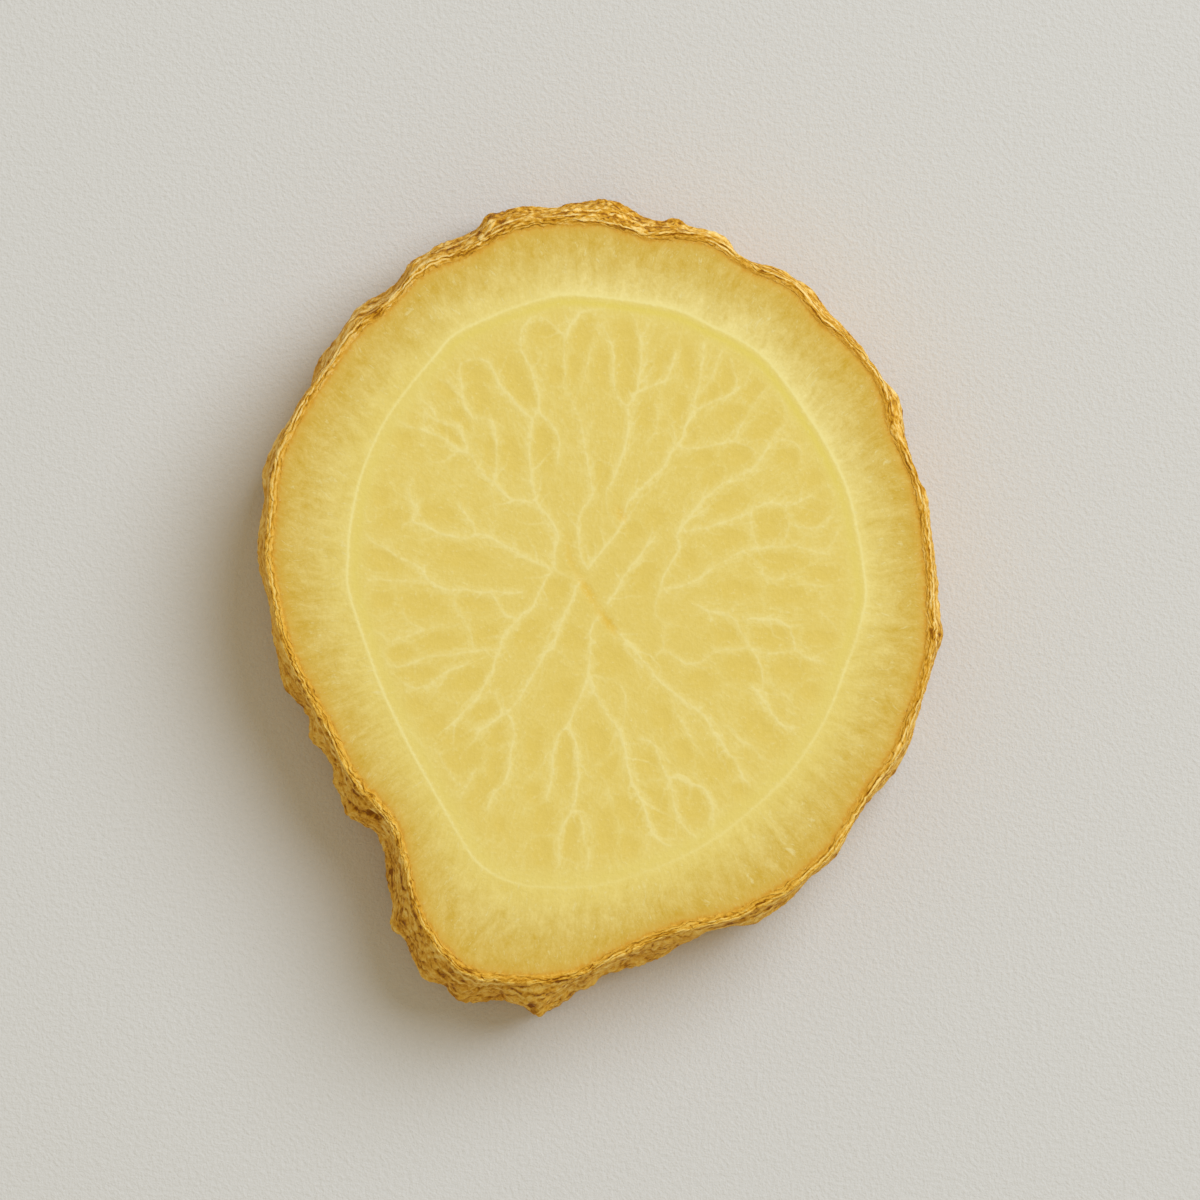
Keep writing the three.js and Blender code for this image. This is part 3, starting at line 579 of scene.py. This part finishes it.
def fill(outline, lines, side):
    """Fills a closed row of points with triangles that follow the lines. Returns the corners
    inside it, and the triangles, which count the row's own corners first."""
    step, rng = FILL_STEP[side], np.random.default_rng(FILL_SEED)
    lines = [line[:, :2] for line in lines]
    xs = np.arange(-GRID_REACH, GRID_REACH, step)
    ys = np.arange(-GRID_REACH, GRID_REACH, step * math.sqrt(3) / 2)
    grid_x, grid_y = np.meshgrid(xs, ys)
    grid_x = grid_x + (np.arange(len(ys)) % 2)[:, None] * step / 2
    grid = np.column_stack([grid_x.ravel(), grid_y.ravel()])
    grid += rng.uniform(-0.12, 0.12, grid.shape) * step
    grid = grid[is_inside(grid, outline, 0.7 * step)]
    grid = grid[nearest_line(grid, lines, step)[0] > 0.45 * step]
    on_lines = np.vstack(lines)
    on_lines = on_lines[is_inside(on_lines, outline, 0.6 * LINE_STEP[side])]
    points = np.vstack([outline, on_lines, grid])
    count = len(outline)
    rim = [(i, (i + 1) % count) for i in range(count)]
    corners, _, faces = delaunay_2d_cdt(
        [Vector(point) for point in points], rim, [], 0, 1e-5, True
    )[:3]
    corners, faces = np.array([tuple(corner) for corner in corners]), np.array(faces)
    faces = faces[is_inside(corners[faces].mean(1), outline)]
    return corners[count:], faces


def flesh_relief(points, strands, ring):
    """The unevenness of the cut flesh, in mm: the knife's waves, strands that stand proud of the
    softer cells, and the clefts."""
    x, y = points[:, 0], points[:, 1]
    waves = 0.018 * np.sin(0.35 * x + 0.8) * np.sin(0.28 * y - 0.4)
    waves += 0.012 * np.sin(0.9 * x - 0.7 * y)
    strand, line = 0.012 * bank(points, strands, 0.13), 0.014 * bank(points, [ring], 0.15)
    cleft = 0.03 * bank(points, [smoothed(cleft, 0.1) for cleft in CLEFTS], 0.13)
    cell = 0.02 * np.clip(1 - cell_measures(points)[0], 0, 1)
    return waves + strand + line - cleft - cell


class Corners:
    """The corners of the mesh as they are made, each with its layer."""

    def __init__(self):
        self.points, self.layers, self.count = [], [], 0

    def add(self, points, layer):
        """Adds corners and returns their numbers."""
        numbers = np.arange(self.count, self.count + len(points))
        self.points.append(points)
        self.layers.append(np.broadcast_to(layer, len(points)))
        self.count += len(points)
        return numbers


def add_wall(corners, faces, skin):
    """The wall, from the upper rim down. Its rows are closest together by the upper rim.
    Returns the numbers of the two rims."""
    upper = UPPER_WALL * np.linspace(0, 1, UPPER_ROWS + 1) ** 1.1
    depths = np.concatenate([upper, np.linspace(UPPER_WALL, THICKNESS, LOWER_ROWS + 1)[1:]])
    rows = []
    for depth in depths:
        height, layer = THICKNESS - depth, SKIN + depth
        relief = min(1.0, height / FOOT) * skin.height(PLACE, np.full(COLUMNS, layer))
        radius = wall_radius(height) + relief
        row = np.column_stack([OUTWARD * radius[:, None], np.full(COLUMNS, height)])
        row[:, :2] += OUTWARD * (bulge_at(row) - DENT * dent_at(row))[:, None]
        rows.append(corners.add(row, layer))
    for upper, lower in zip(rows, rows[1:]):
        faces.append(row_faces(upper, lower))
    return rows[0], rows[-1]


def add_cut_face(corners, faces, skin, rim, side, lines, strands, ring):
    """A cut face inside a rim: first the cut edge of the skin, then the flesh."""
    top = side == "top"
    level = THICKNESS if top else 0.0
    outline = np.vstack(corners.points)[rim, :2]
    edge = outline - OUTWARD * SKIN
    for inset in EDGE_INSETS[side]:
        layer = np.full(COLUMNS, SKIN - inset)
        flat = outline - OUTWARD * inset
        lip = np.exp(-(((layer - 0.22) / 0.16) ** 2)) * (0.5 * skin.height(PLACE, layer) + 0.05)
        groove = 0.015 * np.exp(-(((layer - 0.02) / 0.09) ** 2))
        height = level + top * (lip - groove)
        row = corners.add(np.column_stack([flat, height]), layer)
        faces.append(row_faces(row, rim) if top else row_faces(rim, row))
        rim = row
    points, triangles = fill(outline - OUTWARD * EDGE_BAND, lines, side)
    closed_edge = np.vstack([edge[::4], edge[:1]])
    depth, _ = nearest_line(points, [np.column_stack([closed_edge, closed_edge[:, 0]])], 30)
    relief = flesh_relief(points, strands, ring) * np.clip(depth / 0.6, 0, 1)
    numbers = corners.add(np.column_stack([points, level + top * relief]), 0)
    corners.layers[-1] = -depth
    numbers = np.concatenate([rim, numbers])
    faces.append(numbers[triangles] if top else numbers[triangles[:, ::-1]])


def patterns(points, layer, skin, strands, twigs, ring, clefts):
    """What the material draws, as three numbers for each corner. The gaps are distances in mm to
    the nearest line of a kind."""
    flat = points[:, :2]
    place = np.interp(angle_of(flat), ANGLES, PLACE, period=TURN)
    ring_gap, ring_look = nearest_line(flat, [ring], 30)
    ring_side = np.where(is_inside(flat, ring), -ring_gap, ring_gap)
    gap, vigour = nearest_line(flat, strands, 1.5)
    twig_gap, twig_vigour = nearest_line(flat, twigs, 0.8)
    cleft_gap, cleft_depth = nearest_line(flat, clefts, 1.5)
    around = TURN * place / PERIMETER
    wrap = PERIMETER / TURN * np.column_stack([np.cos(around), np.sin(around)])
    return {
        "zone": (ring_side, layer, np.interp(place, PLACE, LEAN, period=PERIMETER)),
        # The ring's third number is how deep a corner lies in a crevice of the skin, which the material
        # darkens as painted shade.
        "ring": (ring_look[:, 0], ring_look[:, 1], dent_at(points)),
        "strand": (gap, vigour[:, 0], glow(flat, strands, 0.42)),
        "twig": (twig_gap, twig_vigour[:, 0], skin.ridge(place, layer)),
        "cell": (*cell_measures(flat), 0 * layer),
        "cleft": (cleft_gap, cleft_depth[:, 0], 0 * layer),
        "wrap": (wrap[:, 0], wrap[:, 1], fold_at(layer)),
    }


def build_slice():
    """The whole slice as one mesh, with the patterns of its flesh and skin on its corners."""
    step = LINE_STEP["top"]
    rng = np.random.default_rng(STRAND_SEED)
    strands = [strand_line(vigour, points, step, rng) for vigour, points in STRANDS]
    twigs = grow_twigs(strands, rng)
    ring = smoothed(RING, step, closed=True)
    clefts = [smoothed(cleft, step) for cleft in CLEFTS]
    skin = Skin()
    corners, faces = Corners(), []
    upper_rim, lower_rim = add_wall(corners, faces, skin)
    lines = strands + clefts + [ring]
    add_cut_face(corners, faces, skin, upper_rim, "top", lines + twigs, strands, ring)
    add_cut_face(corners, faces, skin, lower_rim, "bottom", lines, strands, ring)

    points, layer = np.vstack(corners.points), np.concatenate(corners.layers)
    mesh = bpy.data.meshes.new("cut_slice")
    mesh.from_pydata((points * MM).tolist(), [], np.vstack(faces).tolist())
    drawn = patterns(points, layer, skin, strands, twigs, ring, clefts)
    for name, values in drawn.items():
        attribute = mesh.attributes.new(name, "FLOAT_VECTOR", "POINT")
        attribute.data.foreach_set("vector", np.column_stack(values).astype(np.float32).ravel())
    mesh.shade_smooth()
    return mesh


# ------------ the materials

def srgb(red, green, blue):
    """A colour as it is seen, 0 to 255, as the linear colour that a shader takes."""
    def linear(value):
        value /= 255
        return value / 12.92 if value <= 0.04045 else ((value + 0.055) / 1.055) ** 2.4
    return (linear(red), linear(green), linear(blue), 1.0)


# The flesh inside the ring, with its strands and the stain of the clefts
SOFT_TISSUE, GOLDEN_CELL = srgb(228, 202, 106), srgb(225, 196, 93)
PALE_TISSUE, STRAND = srgb(236, 217, 135), srgb(241, 225, 152)
STAIN = srgb(230, 186, 62)
# The ring: the bands inside it, and its line
PALE_BAND, GOLDEN_BAND, RING_LINE = srgb(232, 212, 121), srgb(229, 207, 99), srgb(242, 226, 148)
# The flesh outside the ring, from the ring to the skin, and its fibres
CORTEX = [
    (0.0, srgb(237, 218, 137)), (0.2, srgb(230, 207, 121)), (0.5, srgb(220, 191, 98)),
    (0.75, srgb(215, 180, 80)), (1.0, srgb(210, 170, 66)),
]
OUTER_BAND = srgb(230, 205, 98)
FIBRE, SPECK = srgb(238, 222, 155), srgb(241, 228, 168)
# The flesh against the skin
NEAR_SKIN, AT_SKIN = srgb(218, 172, 68), srgb(212, 154, 46)
# The skin, from its furrows to its crests, and its cut edge. The dark furrows are partly painted shade
# and the pale crests partly painted highlight.
SKIN_TONES = [
    (0.0, srgb(146, 86, 0)), (0.25, srgb(200, 138, 20)), (0.5, srgb(229, 172, 56)),
    (0.75, srgb(243, 196, 84)), (1.0, srgb(250, 212, 120)),
]
# A whitish painted highlight for the crests on the side towards the lamp, and the colour of the skin's
# cut edge
CREST_HIGHLIGHT_COLOUR, CUT_EDGE = srgb(252, 224, 158), srgb(222, 166, 52)
# The pale lines are partly the skin's own pale layers and partly painted highlights, each with a partly
# painted shade line beside it
PALE_LINES = (0.3, 0.43, 0.58, 0.8)  # the folds at which pale lines run round the skin
LINE_SHIFT = 40.0  # between the patterns of noise that two of them follow
PAPER = srgb(207, 204, 196), srgb(216, 213, 206)
HAZE = PAPER[0]  # what the camera sees beyond the paper, which turns into it with distance
HAZE_START, HAZE_END = 100.0, 500.0


class Shader:
    """Adds nodes to a material, so that a pattern reads as a formula. It is called s below."""

    def __init__(self, name):
        self.material = bpy.data.materials.new(name)
        self.material.use_nodes = True
        self.tree = self.material.node_tree
        self.surface = self.tree.nodes["Principled BSDF"]

    def node(self, kind, values=(), **settings):
        node = self.tree.nodes.new(kind)
        for name, value in settings.items():
            setattr(node, name, value)
        for socket, value in dict(values).items():
            self.feed(node.inputs[socket], value)
        return node

    def feed(self, socket, value):
        if isinstance(value, bpy.types.NodeSocket):
            self.tree.links.new(value, socket)
        else:
            socket.default_value = value

    def math(self, operation, *values, clamp=False):
        node = self.node("ShaderNodeMath", enumerate(values), operation=operation)
        node.use_clamp = clamp
        return node.outputs[0]

    def add(self, first, *others, clamp=False):
        for other in others:
            first = self.math("ADD", first, other, clamp=clamp)
        return first

    def times(self, first, *others):
        for other in others:
            first = self.math("MULTIPLY", first, other)
        return first

    def line(self, value, slope, start):
        """value times slope, from a start."""
        return self.math("MULTIPLY_ADD", value, slope, start)

    def about(self, value, middle, gain):
        """How far value is from the middle, times gain."""
        return self.line(value, gain, -middle * gain)

    def vector(self, operation, *values):
        node = self.node("ShaderNodeVectorMath", enumerate(values), operation=operation)
        return node.outputs["Value" if operation == "LENGTH" else "Vector"]

    def split(self, vector):
        return self.node("ShaderNodeSeparateXYZ", {0: vector}).outputs

    def join(self, x, y, z):
        return self.node("ShaderNodeCombineXYZ", {0: x, 1: y, 2: z}).outputs[0]

    def attribute(self, name):
        return self.node("ShaderNodeAttribute", attribute_name=name).outputs["Vector"]

    def noise(self, vector, scale, detail, roughness=0.5, output=0):
        """Noise with so many features a mm. scale is one number, or one for each axis."""
        values = {
            "Vector": self.vector("MULTIPLY", vector, np.broadcast_to(scale, 3).tolist()),
            "Scale": 1.0, "Detail": detail, "Roughness": roughness,
        }
        return self.node("ShaderNodeTexNoise", values).outputs[output]

    def warped(self, vector, scale, amount):
        """The vector, pushed about by up to half of amount."""
        push = self.noise(vector, scale, 0, output="Color")
        push = self.vector("SUBTRACT", push, (0.5, 0.5, 0.5))
        return self.vector("ADD", vector, self.vector("MULTIPLY", push, (amount,) * 3))

    def web(self, vector, scale):
        """The distance to the walls of a net of cells."""
        values = {"Vector": self.vector("MULTIPLY", vector, scale), "Scale": 1.0}
        node = self.node("ShaderNodeTexVoronoi", values, feature="DISTANCE_TO_EDGE")
        return node.outputs["Distance"]

    def between(self, value, low, high):
        """0 up to low, 1 from high, and smooth between them. low may be above high."""
        if low > high:
            return self.math("SUBTRACT", 1.0, self.between(value, high, low))
        values = {"Value": value, "From Min": low, "From Max": high}
        node = self.node("ShaderNodeMapRange", values, interpolation_type="SMOOTHSTEP")
        return node.outputs[0]

    def bell(self, value, width):
        """1 where value is 0, falling to nothing about two widths away."""
        scaled = self.math("DIVIDE", value, width)
        return self.math("EXPONENT", self.times(scaled, scaled, -1.0))

    def mix(self, factor, a, b):
        node = self.node("ShaderNodeMix", data_type="RGBA")
        self.feed(node.inputs[0], factor)
        self.feed(node.inputs[6], a)
        self.feed(node.inputs[7], b)
        return node.outputs[2]

    def lighter(self, colour, amount):
        """The colour with some milky light added, or taken away where amount is below 0."""
        return self.vector("ADD", colour, self.vector("MULTIPLY", amount, (0.18, 0.165, 0.137)))

    def ramp(self, value, stops):
        node = self.node("ShaderNodeValToRGB", {0: value})
        ramp = node.color_ramp
        while len(ramp.elements) < len(stops):
            ramp.elements.new(0.5)
        for element, (place, colour) in zip(ramp.elements, stops):
            element.position = place
            element.color = colour
        return node.outputs[0]

    def relief(self, height, distance, strength):
        """Feeds the fine relief of the surface, as a height times a distance in metres."""
        values = {"Height": height, "Distance": distance, "Strength": strength}
        bump = self.node("ShaderNodeBump", values)
        self.feed(self.surface.inputs["Normal"], bump.outputs[0])


def millimetres(s):
    place = s.node("ShaderNodeTexCoord").outputs["Object"]
    return s.vector("MULTIPLY", place, (1 / MM,) * 3)


def spokes(s, mm):
    """A vector for patterns that run outwards: the way round, 15 mm out, and the radius."""
    x, y, _ = s.split(mm)
    flat = s.join(x, y, 0.0)
    way = s.vector("MULTIPLY", s.vector("NORMALIZE", flat), (15.0, 15.0, 15.0))
    way_x, way_y, _ = s.split(way)
    return s.join(way_x, way_y, s.vector("LENGTH", flat))


def tissue_colour(s, mm, radius, fuzz, hairs, grain):
    """The middle of the slice without its strands: golden cells with pale tissue round them."""
    cell, next_cell, _ = s.split(s.attribute("cell"))
    _, _, halo = s.split(s.attribute("strand"))
    cloud = s.noise(mm, 0.45, 1)
    mottle = s.noise(mm, 1.7, 3, 0.65)
    net = s.bell(s.web(s.warped(mm, 0.8, 0.9), (0.62, 0.62, 0.62)), 0.1)
    net = s.times(net, s.between(radius, 3.0, 9.0), s.between(cell, 1.2, 1.9), 0.2)
    rough = s.add(s.about(mottle, 0.5, 0.8), s.about(grain, 0.5, 0.4))
    gold = s.between(s.add(cell, rough), 1.4, 0.7)
    border = s.bell(s.add(next_cell, s.times(rough, 0.8)), 0.28)
    border = s.times(border, s.between(cell, 0.55, 1.0), s.between(cell, 2.2, 1.5), 0.26)
    wisps = s.times(s.between(fuzz, 0.54, 0.72), halo, 0.6)
    fibres = s.times(s.about(hairs, 0.5, 1.2), s.between(radius, 2.5, 6.0))
    pale = s.add(s.times(halo, 0.2), wisps, net, border, fibres, s.about(mottle, 0.5, 0.45),
                 s.about(cloud, 0.45, 0.2), s.about(grain, 0.5, 0.35))
    pale = s.math("SUBTRACT", pale, s.times(gold, 0.16), clamp=True)
    colour = s.mix(pale, s.mix(s.times(gold, 0.45), SOFT_TISSUE, GOLDEN_CELL), PALE_TISSUE)
    return s.lighter(colour, s.add(s.about(mottle, 0.5, 0.25), s.about(grain, 0.5, 0.25)))


def add_strands(s, colour, fuzz, grain):
    """The pale strands with their side branches, and the stained clefts, drawn on a colour."""
    gap, vigour, _ = s.split(s.attribute("strand"))
    twig_gap, twig_vigour, _ = s.split(s.attribute("twig"))
    cleft_gap, cleft_depth, _ = s.split(s.attribute("cleft"))
    ragged = s.line(grain, 2.2, -0.15)
    core = s.times(s.bell(s.add(gap, s.about(grain, 0.5, 0.16)), 0.055), vigour, ragged, 0.72)
    soft = s.times(s.bell(s.add(gap, s.about(fuzz, 0.45, 0.5)), 0.2), vigour, 0.4)
    twig = s.times(s.bell(twig_gap, 0.055), twig_vigour, ragged)
    colour = s.mix(s.times(s.add(core, soft, twig, clamp=True), 0.62), colour, STRAND)
    stain = s.times(s.bell(s.add(cleft_gap, s.about(grain, 0.5, 0.4)), 0.2), cleft_depth, 0.7)
    return s.mix(stain, colour, STAIN)


def cortex_colour(s, mm, spoke, ring_side, layer, hairs, grain):
    """The flesh outside the ring, pale by the ring and golden by the skin."""
    _, ring_gold, _ = s.split(s.attribute("ring"))
    depth = s.math("MAXIMUM", s.times(layer, -1.0), 0.001)
    share = s.math("DIVIDE", ring_side, s.add(s.math("MAXIMUM", ring_side, 0.0), depth))
    share = s.line(share, 0.85, 0.05)
    fading = s.times(s.math("SUBTRACT", 1.0, ring_gold), s.bell(ring_side, 1.3))
    streaks = s.noise(s.warped(spoke, 0.5, 0.9), (2.2, 2.2, 0.4), 3, 0.6)
    clumps = s.noise(mm, 1.1, 4, 0.7)
    tufts = s.times(s.about(hairs, 0.5, 1.0), s.line(share, 0.8, 0.5))
    share = s.add(share, s.times(fading, 0.12), s.about(clumps, 0.5, 0.6), s.about(streaks, 0.5, 0.4),
                  s.times(tufts, 0.35), s.about(grain, 0.5, 0.35), clamp=True)
    light = s.add(s.about(clumps, 0.5, -0.2), s.about(streaks, 0.5, -0.6), s.times(tufts, -0.7),
                  s.about(grain, 0.5, -0.4))
    colour = s.lighter(s.ramp(share, CORTEX), light)
    colour = s.mix(s.times(fading, 0.5), colour, OUTER_BAND)
    fibres = s.times(s.between(hairs, 0.54, 0.72), s.between(clumps, 0.62, 0.42), 0.6)
    return s.mix(fibres, colour, FIBRE)


def add_ring(s, colour, ring_side, grain):
    """The ring drawn on a colour: a pale and a golden band inside it, then its line."""
    clear, golden, _ = s.split(s.attribute("ring"))
    pale = s.times(s.between(ring_side, -1.3, -0.3), s.between(ring_side, 0.1, -0.1), 0.45)
    colour = s.mix(pale, colour, PALE_BAND)
    band = s.times(s.bell(s.add(ring_side, 0.38), 0.2), golden, 0.85)
    colour = s.mix(band, colour, GOLDEN_BAND)
    wavering = s.add(ring_side, s.about(grain, 0.5, 0.1))
    line = s.times(s.bell(wavering, 0.08), clear, s.line(grain, 1.0, 0.45))
    edge = s.times(s.bell(s.add(ring_side, -0.1), 0.24), golden, 0.3)
    return s.mix(s.times(s.add(line, edge, clamp=True), 0.85), colour, RING_LINE)


def flesh_colour(s, mm, layer, ring_side, grain):
    spoke = spokes(s, mm)
    radius = s.split(spoke)[2]
    hairs = s.noise(s.warped(spoke, 0.9, 0.8), (5.5, 5.5, 1.3), 3, 0.65)
    fuzz = s.noise(s.warped(mm, 1.2, 0.5), 2.6, 3, 0.7)
    stele = add_strands(s, tissue_colour(s, mm, radius, fuzz, hairs, grain), fuzz, grain)
    cortex = cortex_colour(s, mm, spoke, ring_side, layer, hairs, grain)
    colour = s.mix(s.between(ring_side, -0.08, 0.1), stele, cortex)
    colour = add_ring(s, colour, ring_side, grain)
    near_skin = s.add(layer, s.about(hairs, 0.5, 0.45), s.about(grain, 0.5, 0.3))
    colour = s.mix(s.times(s.between(near_skin, -0.6, -0.1), 0.55), colour, NEAR_SKIN)
    colour = s.mix(s.between(near_skin, -0.18, 0.06), colour, AT_SKIN)
    return s.mix(s.times(s.between(grain, 0.58, 0.8), 0.35), colour, SPECK)


def pale_line(s, number, middle, wrap, grit):
    """How much a wavering line round the skin, with a dark one beside it, adds to the tone. The pale
    line is partly the skin's own pale layer and partly painted highlight, and the dark one partly
    painted shade.
    """
    _, _, fold = s.split(wrap)
    shifted = s.vector("ADD", wrap, (0.0, LINE_SHIFT * number, 0.0))
    waver = s.about(s.noise(shifted, (0.25, 0.25, 0.0), 1), 0.5, 0.35)
    along = s.noise(shifted, (0.4, 0.4, 0.0), 0)
    offset = s.add(fold, waver, s.about(grit, 0.5, 0.1), -middle)
    light = s.times(s.bell(offset, 0.035), 0.42)
    dark = s.times(s.bell(s.add(offset, 0.09), 0.04), -0.25)
    return s.times(s.add(light, dark), s.between(along, 0.4, 0.56))


def skin_colour(s, wrap, layer, lean, thread, grit):
    """The skin, dark in its furrows and pale on its crests, partly its own colour and partly painted
    shade and highlight. Its crests carry a whitish painted highlight, except at the lower left, away
    from the lamp."""
    wrap_x, wrap_y, _ = s.split(wrap)
    _, _, ridge = s.split(s.attribute("twig"))
    _, _, crevice_shade = s.split(s.attribute("ring"))
    plate = s.between(s.web(s.warped(wrap, 0.45, 0.4), (1.2, 1.2, 6.5)), 0.0, 0.3)
    streak = s.noise(wrap, (0.6, 0.6, 2.4), 3)
    # The ridge term darkens the furrows and lightens the crests of the wrinkles: partly the skin's own
    # colour, partly painted shade and highlight.
    tone = s.add(s.about(ridge, 0.75, 0.34), s.about(plate, 0.6, 0.15),
                 s.about(thread, 0.75, 0.25), s.about(grit, 0.5, 1.7), s.about(streak, 0.5, 1.0))
    tone = s.times(tone, s.line(lean, 0.35, 0.75))
    # Painted light: the tone is raised on the lower left, which faces away from the lamp, and lowered
    # on the upper right, which faces it.
    painted_side_light = s.add(s.times(wrap_x, -0.0031), s.times(wrap_y, -0.0038))
    tone = s.add(tone, s.line(lean, -0.11, 0.57), painted_side_light)
    for number, middle in enumerate(PALE_LINES):
        tone = s.add(tone, pale_line(s, number, middle, wrap, grit))
    # Painted shade: the crevices of the skin are darkened.
    tone = s.add(tone, s.times(crevice_shade, -0.9), clamp=True)
    # Painted highlight: the pale crests turn whitish on the side towards the lamp, but not at the lower
    # left.
    painted_crest_highlight = s.between(s.add(wrap_y, s.times(wrap_x, 0.4)), -12.0, 8.0)
    painted_crest_highlight = s.times(painted_crest_highlight, s.between(tone, 0.4, 0.9), 0.5)
    colour = s.mix(painted_crest_highlight, s.ramp(tone, SKIN_TONES), CREST_HIGHLIGHT_COLOUR)
    return s.mix(s.times(s.between(layer, 0.28, 0.05), 0.5), colour, CUT_EDGE)


def ginger_material():
    s = Shader("ginger")
    mm = millimetres(s)
    wrap = s.attribute("wrap")
    ring_side, layer, lean = s.split(s.attribute("zone"))
    grain = s.noise(mm, 5.5, 3, 0.65)
    thread = s.times(s.split(wrap)[2], 7.0)
    thread = s.add(thread, s.times(s.noise(wrap, (0.7, 0.7, 1.4), 2), 9.0))
    thread = s.between(s.math("PINGPONG", thread, 1.0), 0.0, 0.5)
    grit = s.noise(wrap, (3.0, 3.0, 8.0), 3, 0.7)
    on_skin = s.between(s.add(layer, s.about(grain, 0.5, 0.3)), -0.02, 0.08)
    colour = s.mix(on_skin, flesh_colour(s, mm, layer, ring_side, grain),
                   skin_colour(s, wrap, layer, lean, thread, grit))
    s.feed(s.surface.inputs["Base Color"], colour)
    rough = s.add(s.line(grain, 0.2, 0.42), s.times(on_skin, 0.14))
    s.feed(s.surface.inputs["Roughness"], rough)
    s.surface.inputs["Specular IOR Level"].default_value = 0.12
    s.surface.inputs["Sheen Weight"].default_value = 0.04
    s.surface.inputs["Sheen Roughness"].default_value = 0.35
    s.surface.inputs["Sheen Tint"].default_value = srgb(255, 210, 120)
    soft = s.times(s.about(grain, 0.5, 0.5), s.math("SUBTRACT", 1.0, on_skin))
    tough = s.times(s.add(s.about(thread, 0.75, 0.9), s.about(grit, 0.5, 2.4)), on_skin)
    s.relief(s.add(soft, tough), 0.05 * MM, 0.9)
    return s.material


def paper_material():
    s = Shader("paper")
    mm = millimetres(s)
    tooth = s.noise(mm, 4.2, 2, 0.7)
    s.feed(s.surface.inputs["Base Color"], s.mix(tooth, *PAPER))
    s.surface.inputs["Roughness"].default_value = 0.9
    s.surface.inputs["Specular IOR Level"].default_value = 0.1
    s.relief(tooth, 0.08 * MM, 0.6)
    seen = s.node("ShaderNodeLightPath").outputs["Is Camera Ray"]
    far = s.times(s.between(s.vector("LENGTH", mm), HAZE_START, HAZE_END), seen)
    haze = s.node("ShaderNodeEmission", {"Color": HAZE})
    both = s.node("ShaderNodeMixShader", {0: far, 1: s.surface.outputs[0], 2: haze.outputs[0]})
    s.feed(s.tree.nodes["Material Output"].inputs["Surface"], both.outputs[0])
    return s.material


# ------------ the studio

FRAME_WIDTH = 60.0  # how much of the table the camera sees at the height of the cut face
FRAME_MIDDLE = (0.0, 0.35)
LENS, SENSOR = 500.0, 36.0  # a long lens looks nearly straight down all over the frame
CAMERA_REACH = 10.0  # in metres
PAPER_HALF, PAPER_LEVEL = 3.0, -0.02 * MM  # in metres
# The lamp, in degrees, metres and watts
KEY = {"azimuth": 41, "elevation": 45, "distance": 1.0, "width": 0.8, "power": 10.5}
KEY_COLOUR = (0.717, 0.817, 1.0)
ROOM_COLOUR, ROOM_STRENGTH = (1.0, 0.887, 0.65, 1.0), 0.505


def add_object(name, data):
    item = bpy.data.objects.new(name, data)
    bpy.context.scene.collection.objects.link(item)
    return item


def add_camera():
    data = bpy.data.cameras.new("camera")
    data.lens, data.sensor_width = LENS, SENSOR
    data.clip_end = CAMERA_REACH
    camera = add_object("camera", data)
    distance = FRAME_WIDTH * MM * LENS / SENSOR
    camera.location = (FRAME_MIDDLE[0] * MM, FRAME_MIDDLE[1] * MM, distance + THICKNESS * MM)
    bpy.context.scene.camera = camera


def add_lights():
    """One large soft lamp from the upper right, and the warm light of the room. The camera sees the
    colour of the paper where the paper ends."""
    azimuth, elevation = math.radians(KEY["azimuth"]), math.radians(KEY["elevation"])
    towards = Vector((math.cos(azimuth) * math.cos(elevation),
                      math.sin(azimuth) * math.cos(elevation), math.sin(elevation)))
    data = bpy.data.lights.new("key", "AREA")
    data.shape = "DISK"
    data.size = KEY["width"]
    data.energy = KEY["power"]
    data.color = KEY_COLOUR
    key = add_object("key", data)
    key.location = towards * KEY["distance"]
    key.rotation_euler = towards.to_track_quat("Z", "Y").to_euler()

    world = bpy.data.worlds.new("room")
    bpy.context.scene.world = world
    world.use_nodes = True
    tree = world.node_tree
    room, haze = tree.nodes["Background"], tree.nodes.new("ShaderNodeBackground")
    room.inputs["Color"].default_value = ROOM_COLOUR
    room.inputs["Strength"].default_value = ROOM_STRENGTH
    haze.inputs["Color"].default_value = HAZE
    both = tree.nodes.new("ShaderNodeMixShader")
    seen = tree.nodes.new("ShaderNodeLightPath").outputs["Is Camera Ray"]
    for socket, output in zip(both.inputs, (seen, room.outputs[0], haze.outputs[0])):
        tree.links.new(output, socket)
    tree.links.new(both.outputs[0], tree.nodes["World Output"].inputs["Surface"])


def add_floor():
    mesh = bpy.data.meshes.new("paper")
    sides = [(-1, -1), (1, -1), (1, 1), (-1, 1)]
    corners = [(x * PAPER_HALF, y * PAPER_HALF, PAPER_LEVEL) for x, y in sides]
    mesh.from_pydata(corners, [], [(0, 1, 2, 3)])
    mesh.materials.append(paper_material())
    add_object("paper", mesh)


def add_slice():
    mesh = build_slice()
    mesh.materials.append(ginger_material())
    piece = add_object("cut_slice", mesh)
    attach(piece, "root")
    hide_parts(NODE)


add_camera()
add_lights()
add_floor()
add_slice()
bpy.context.scene.view_settings.view_transform = "Standard"
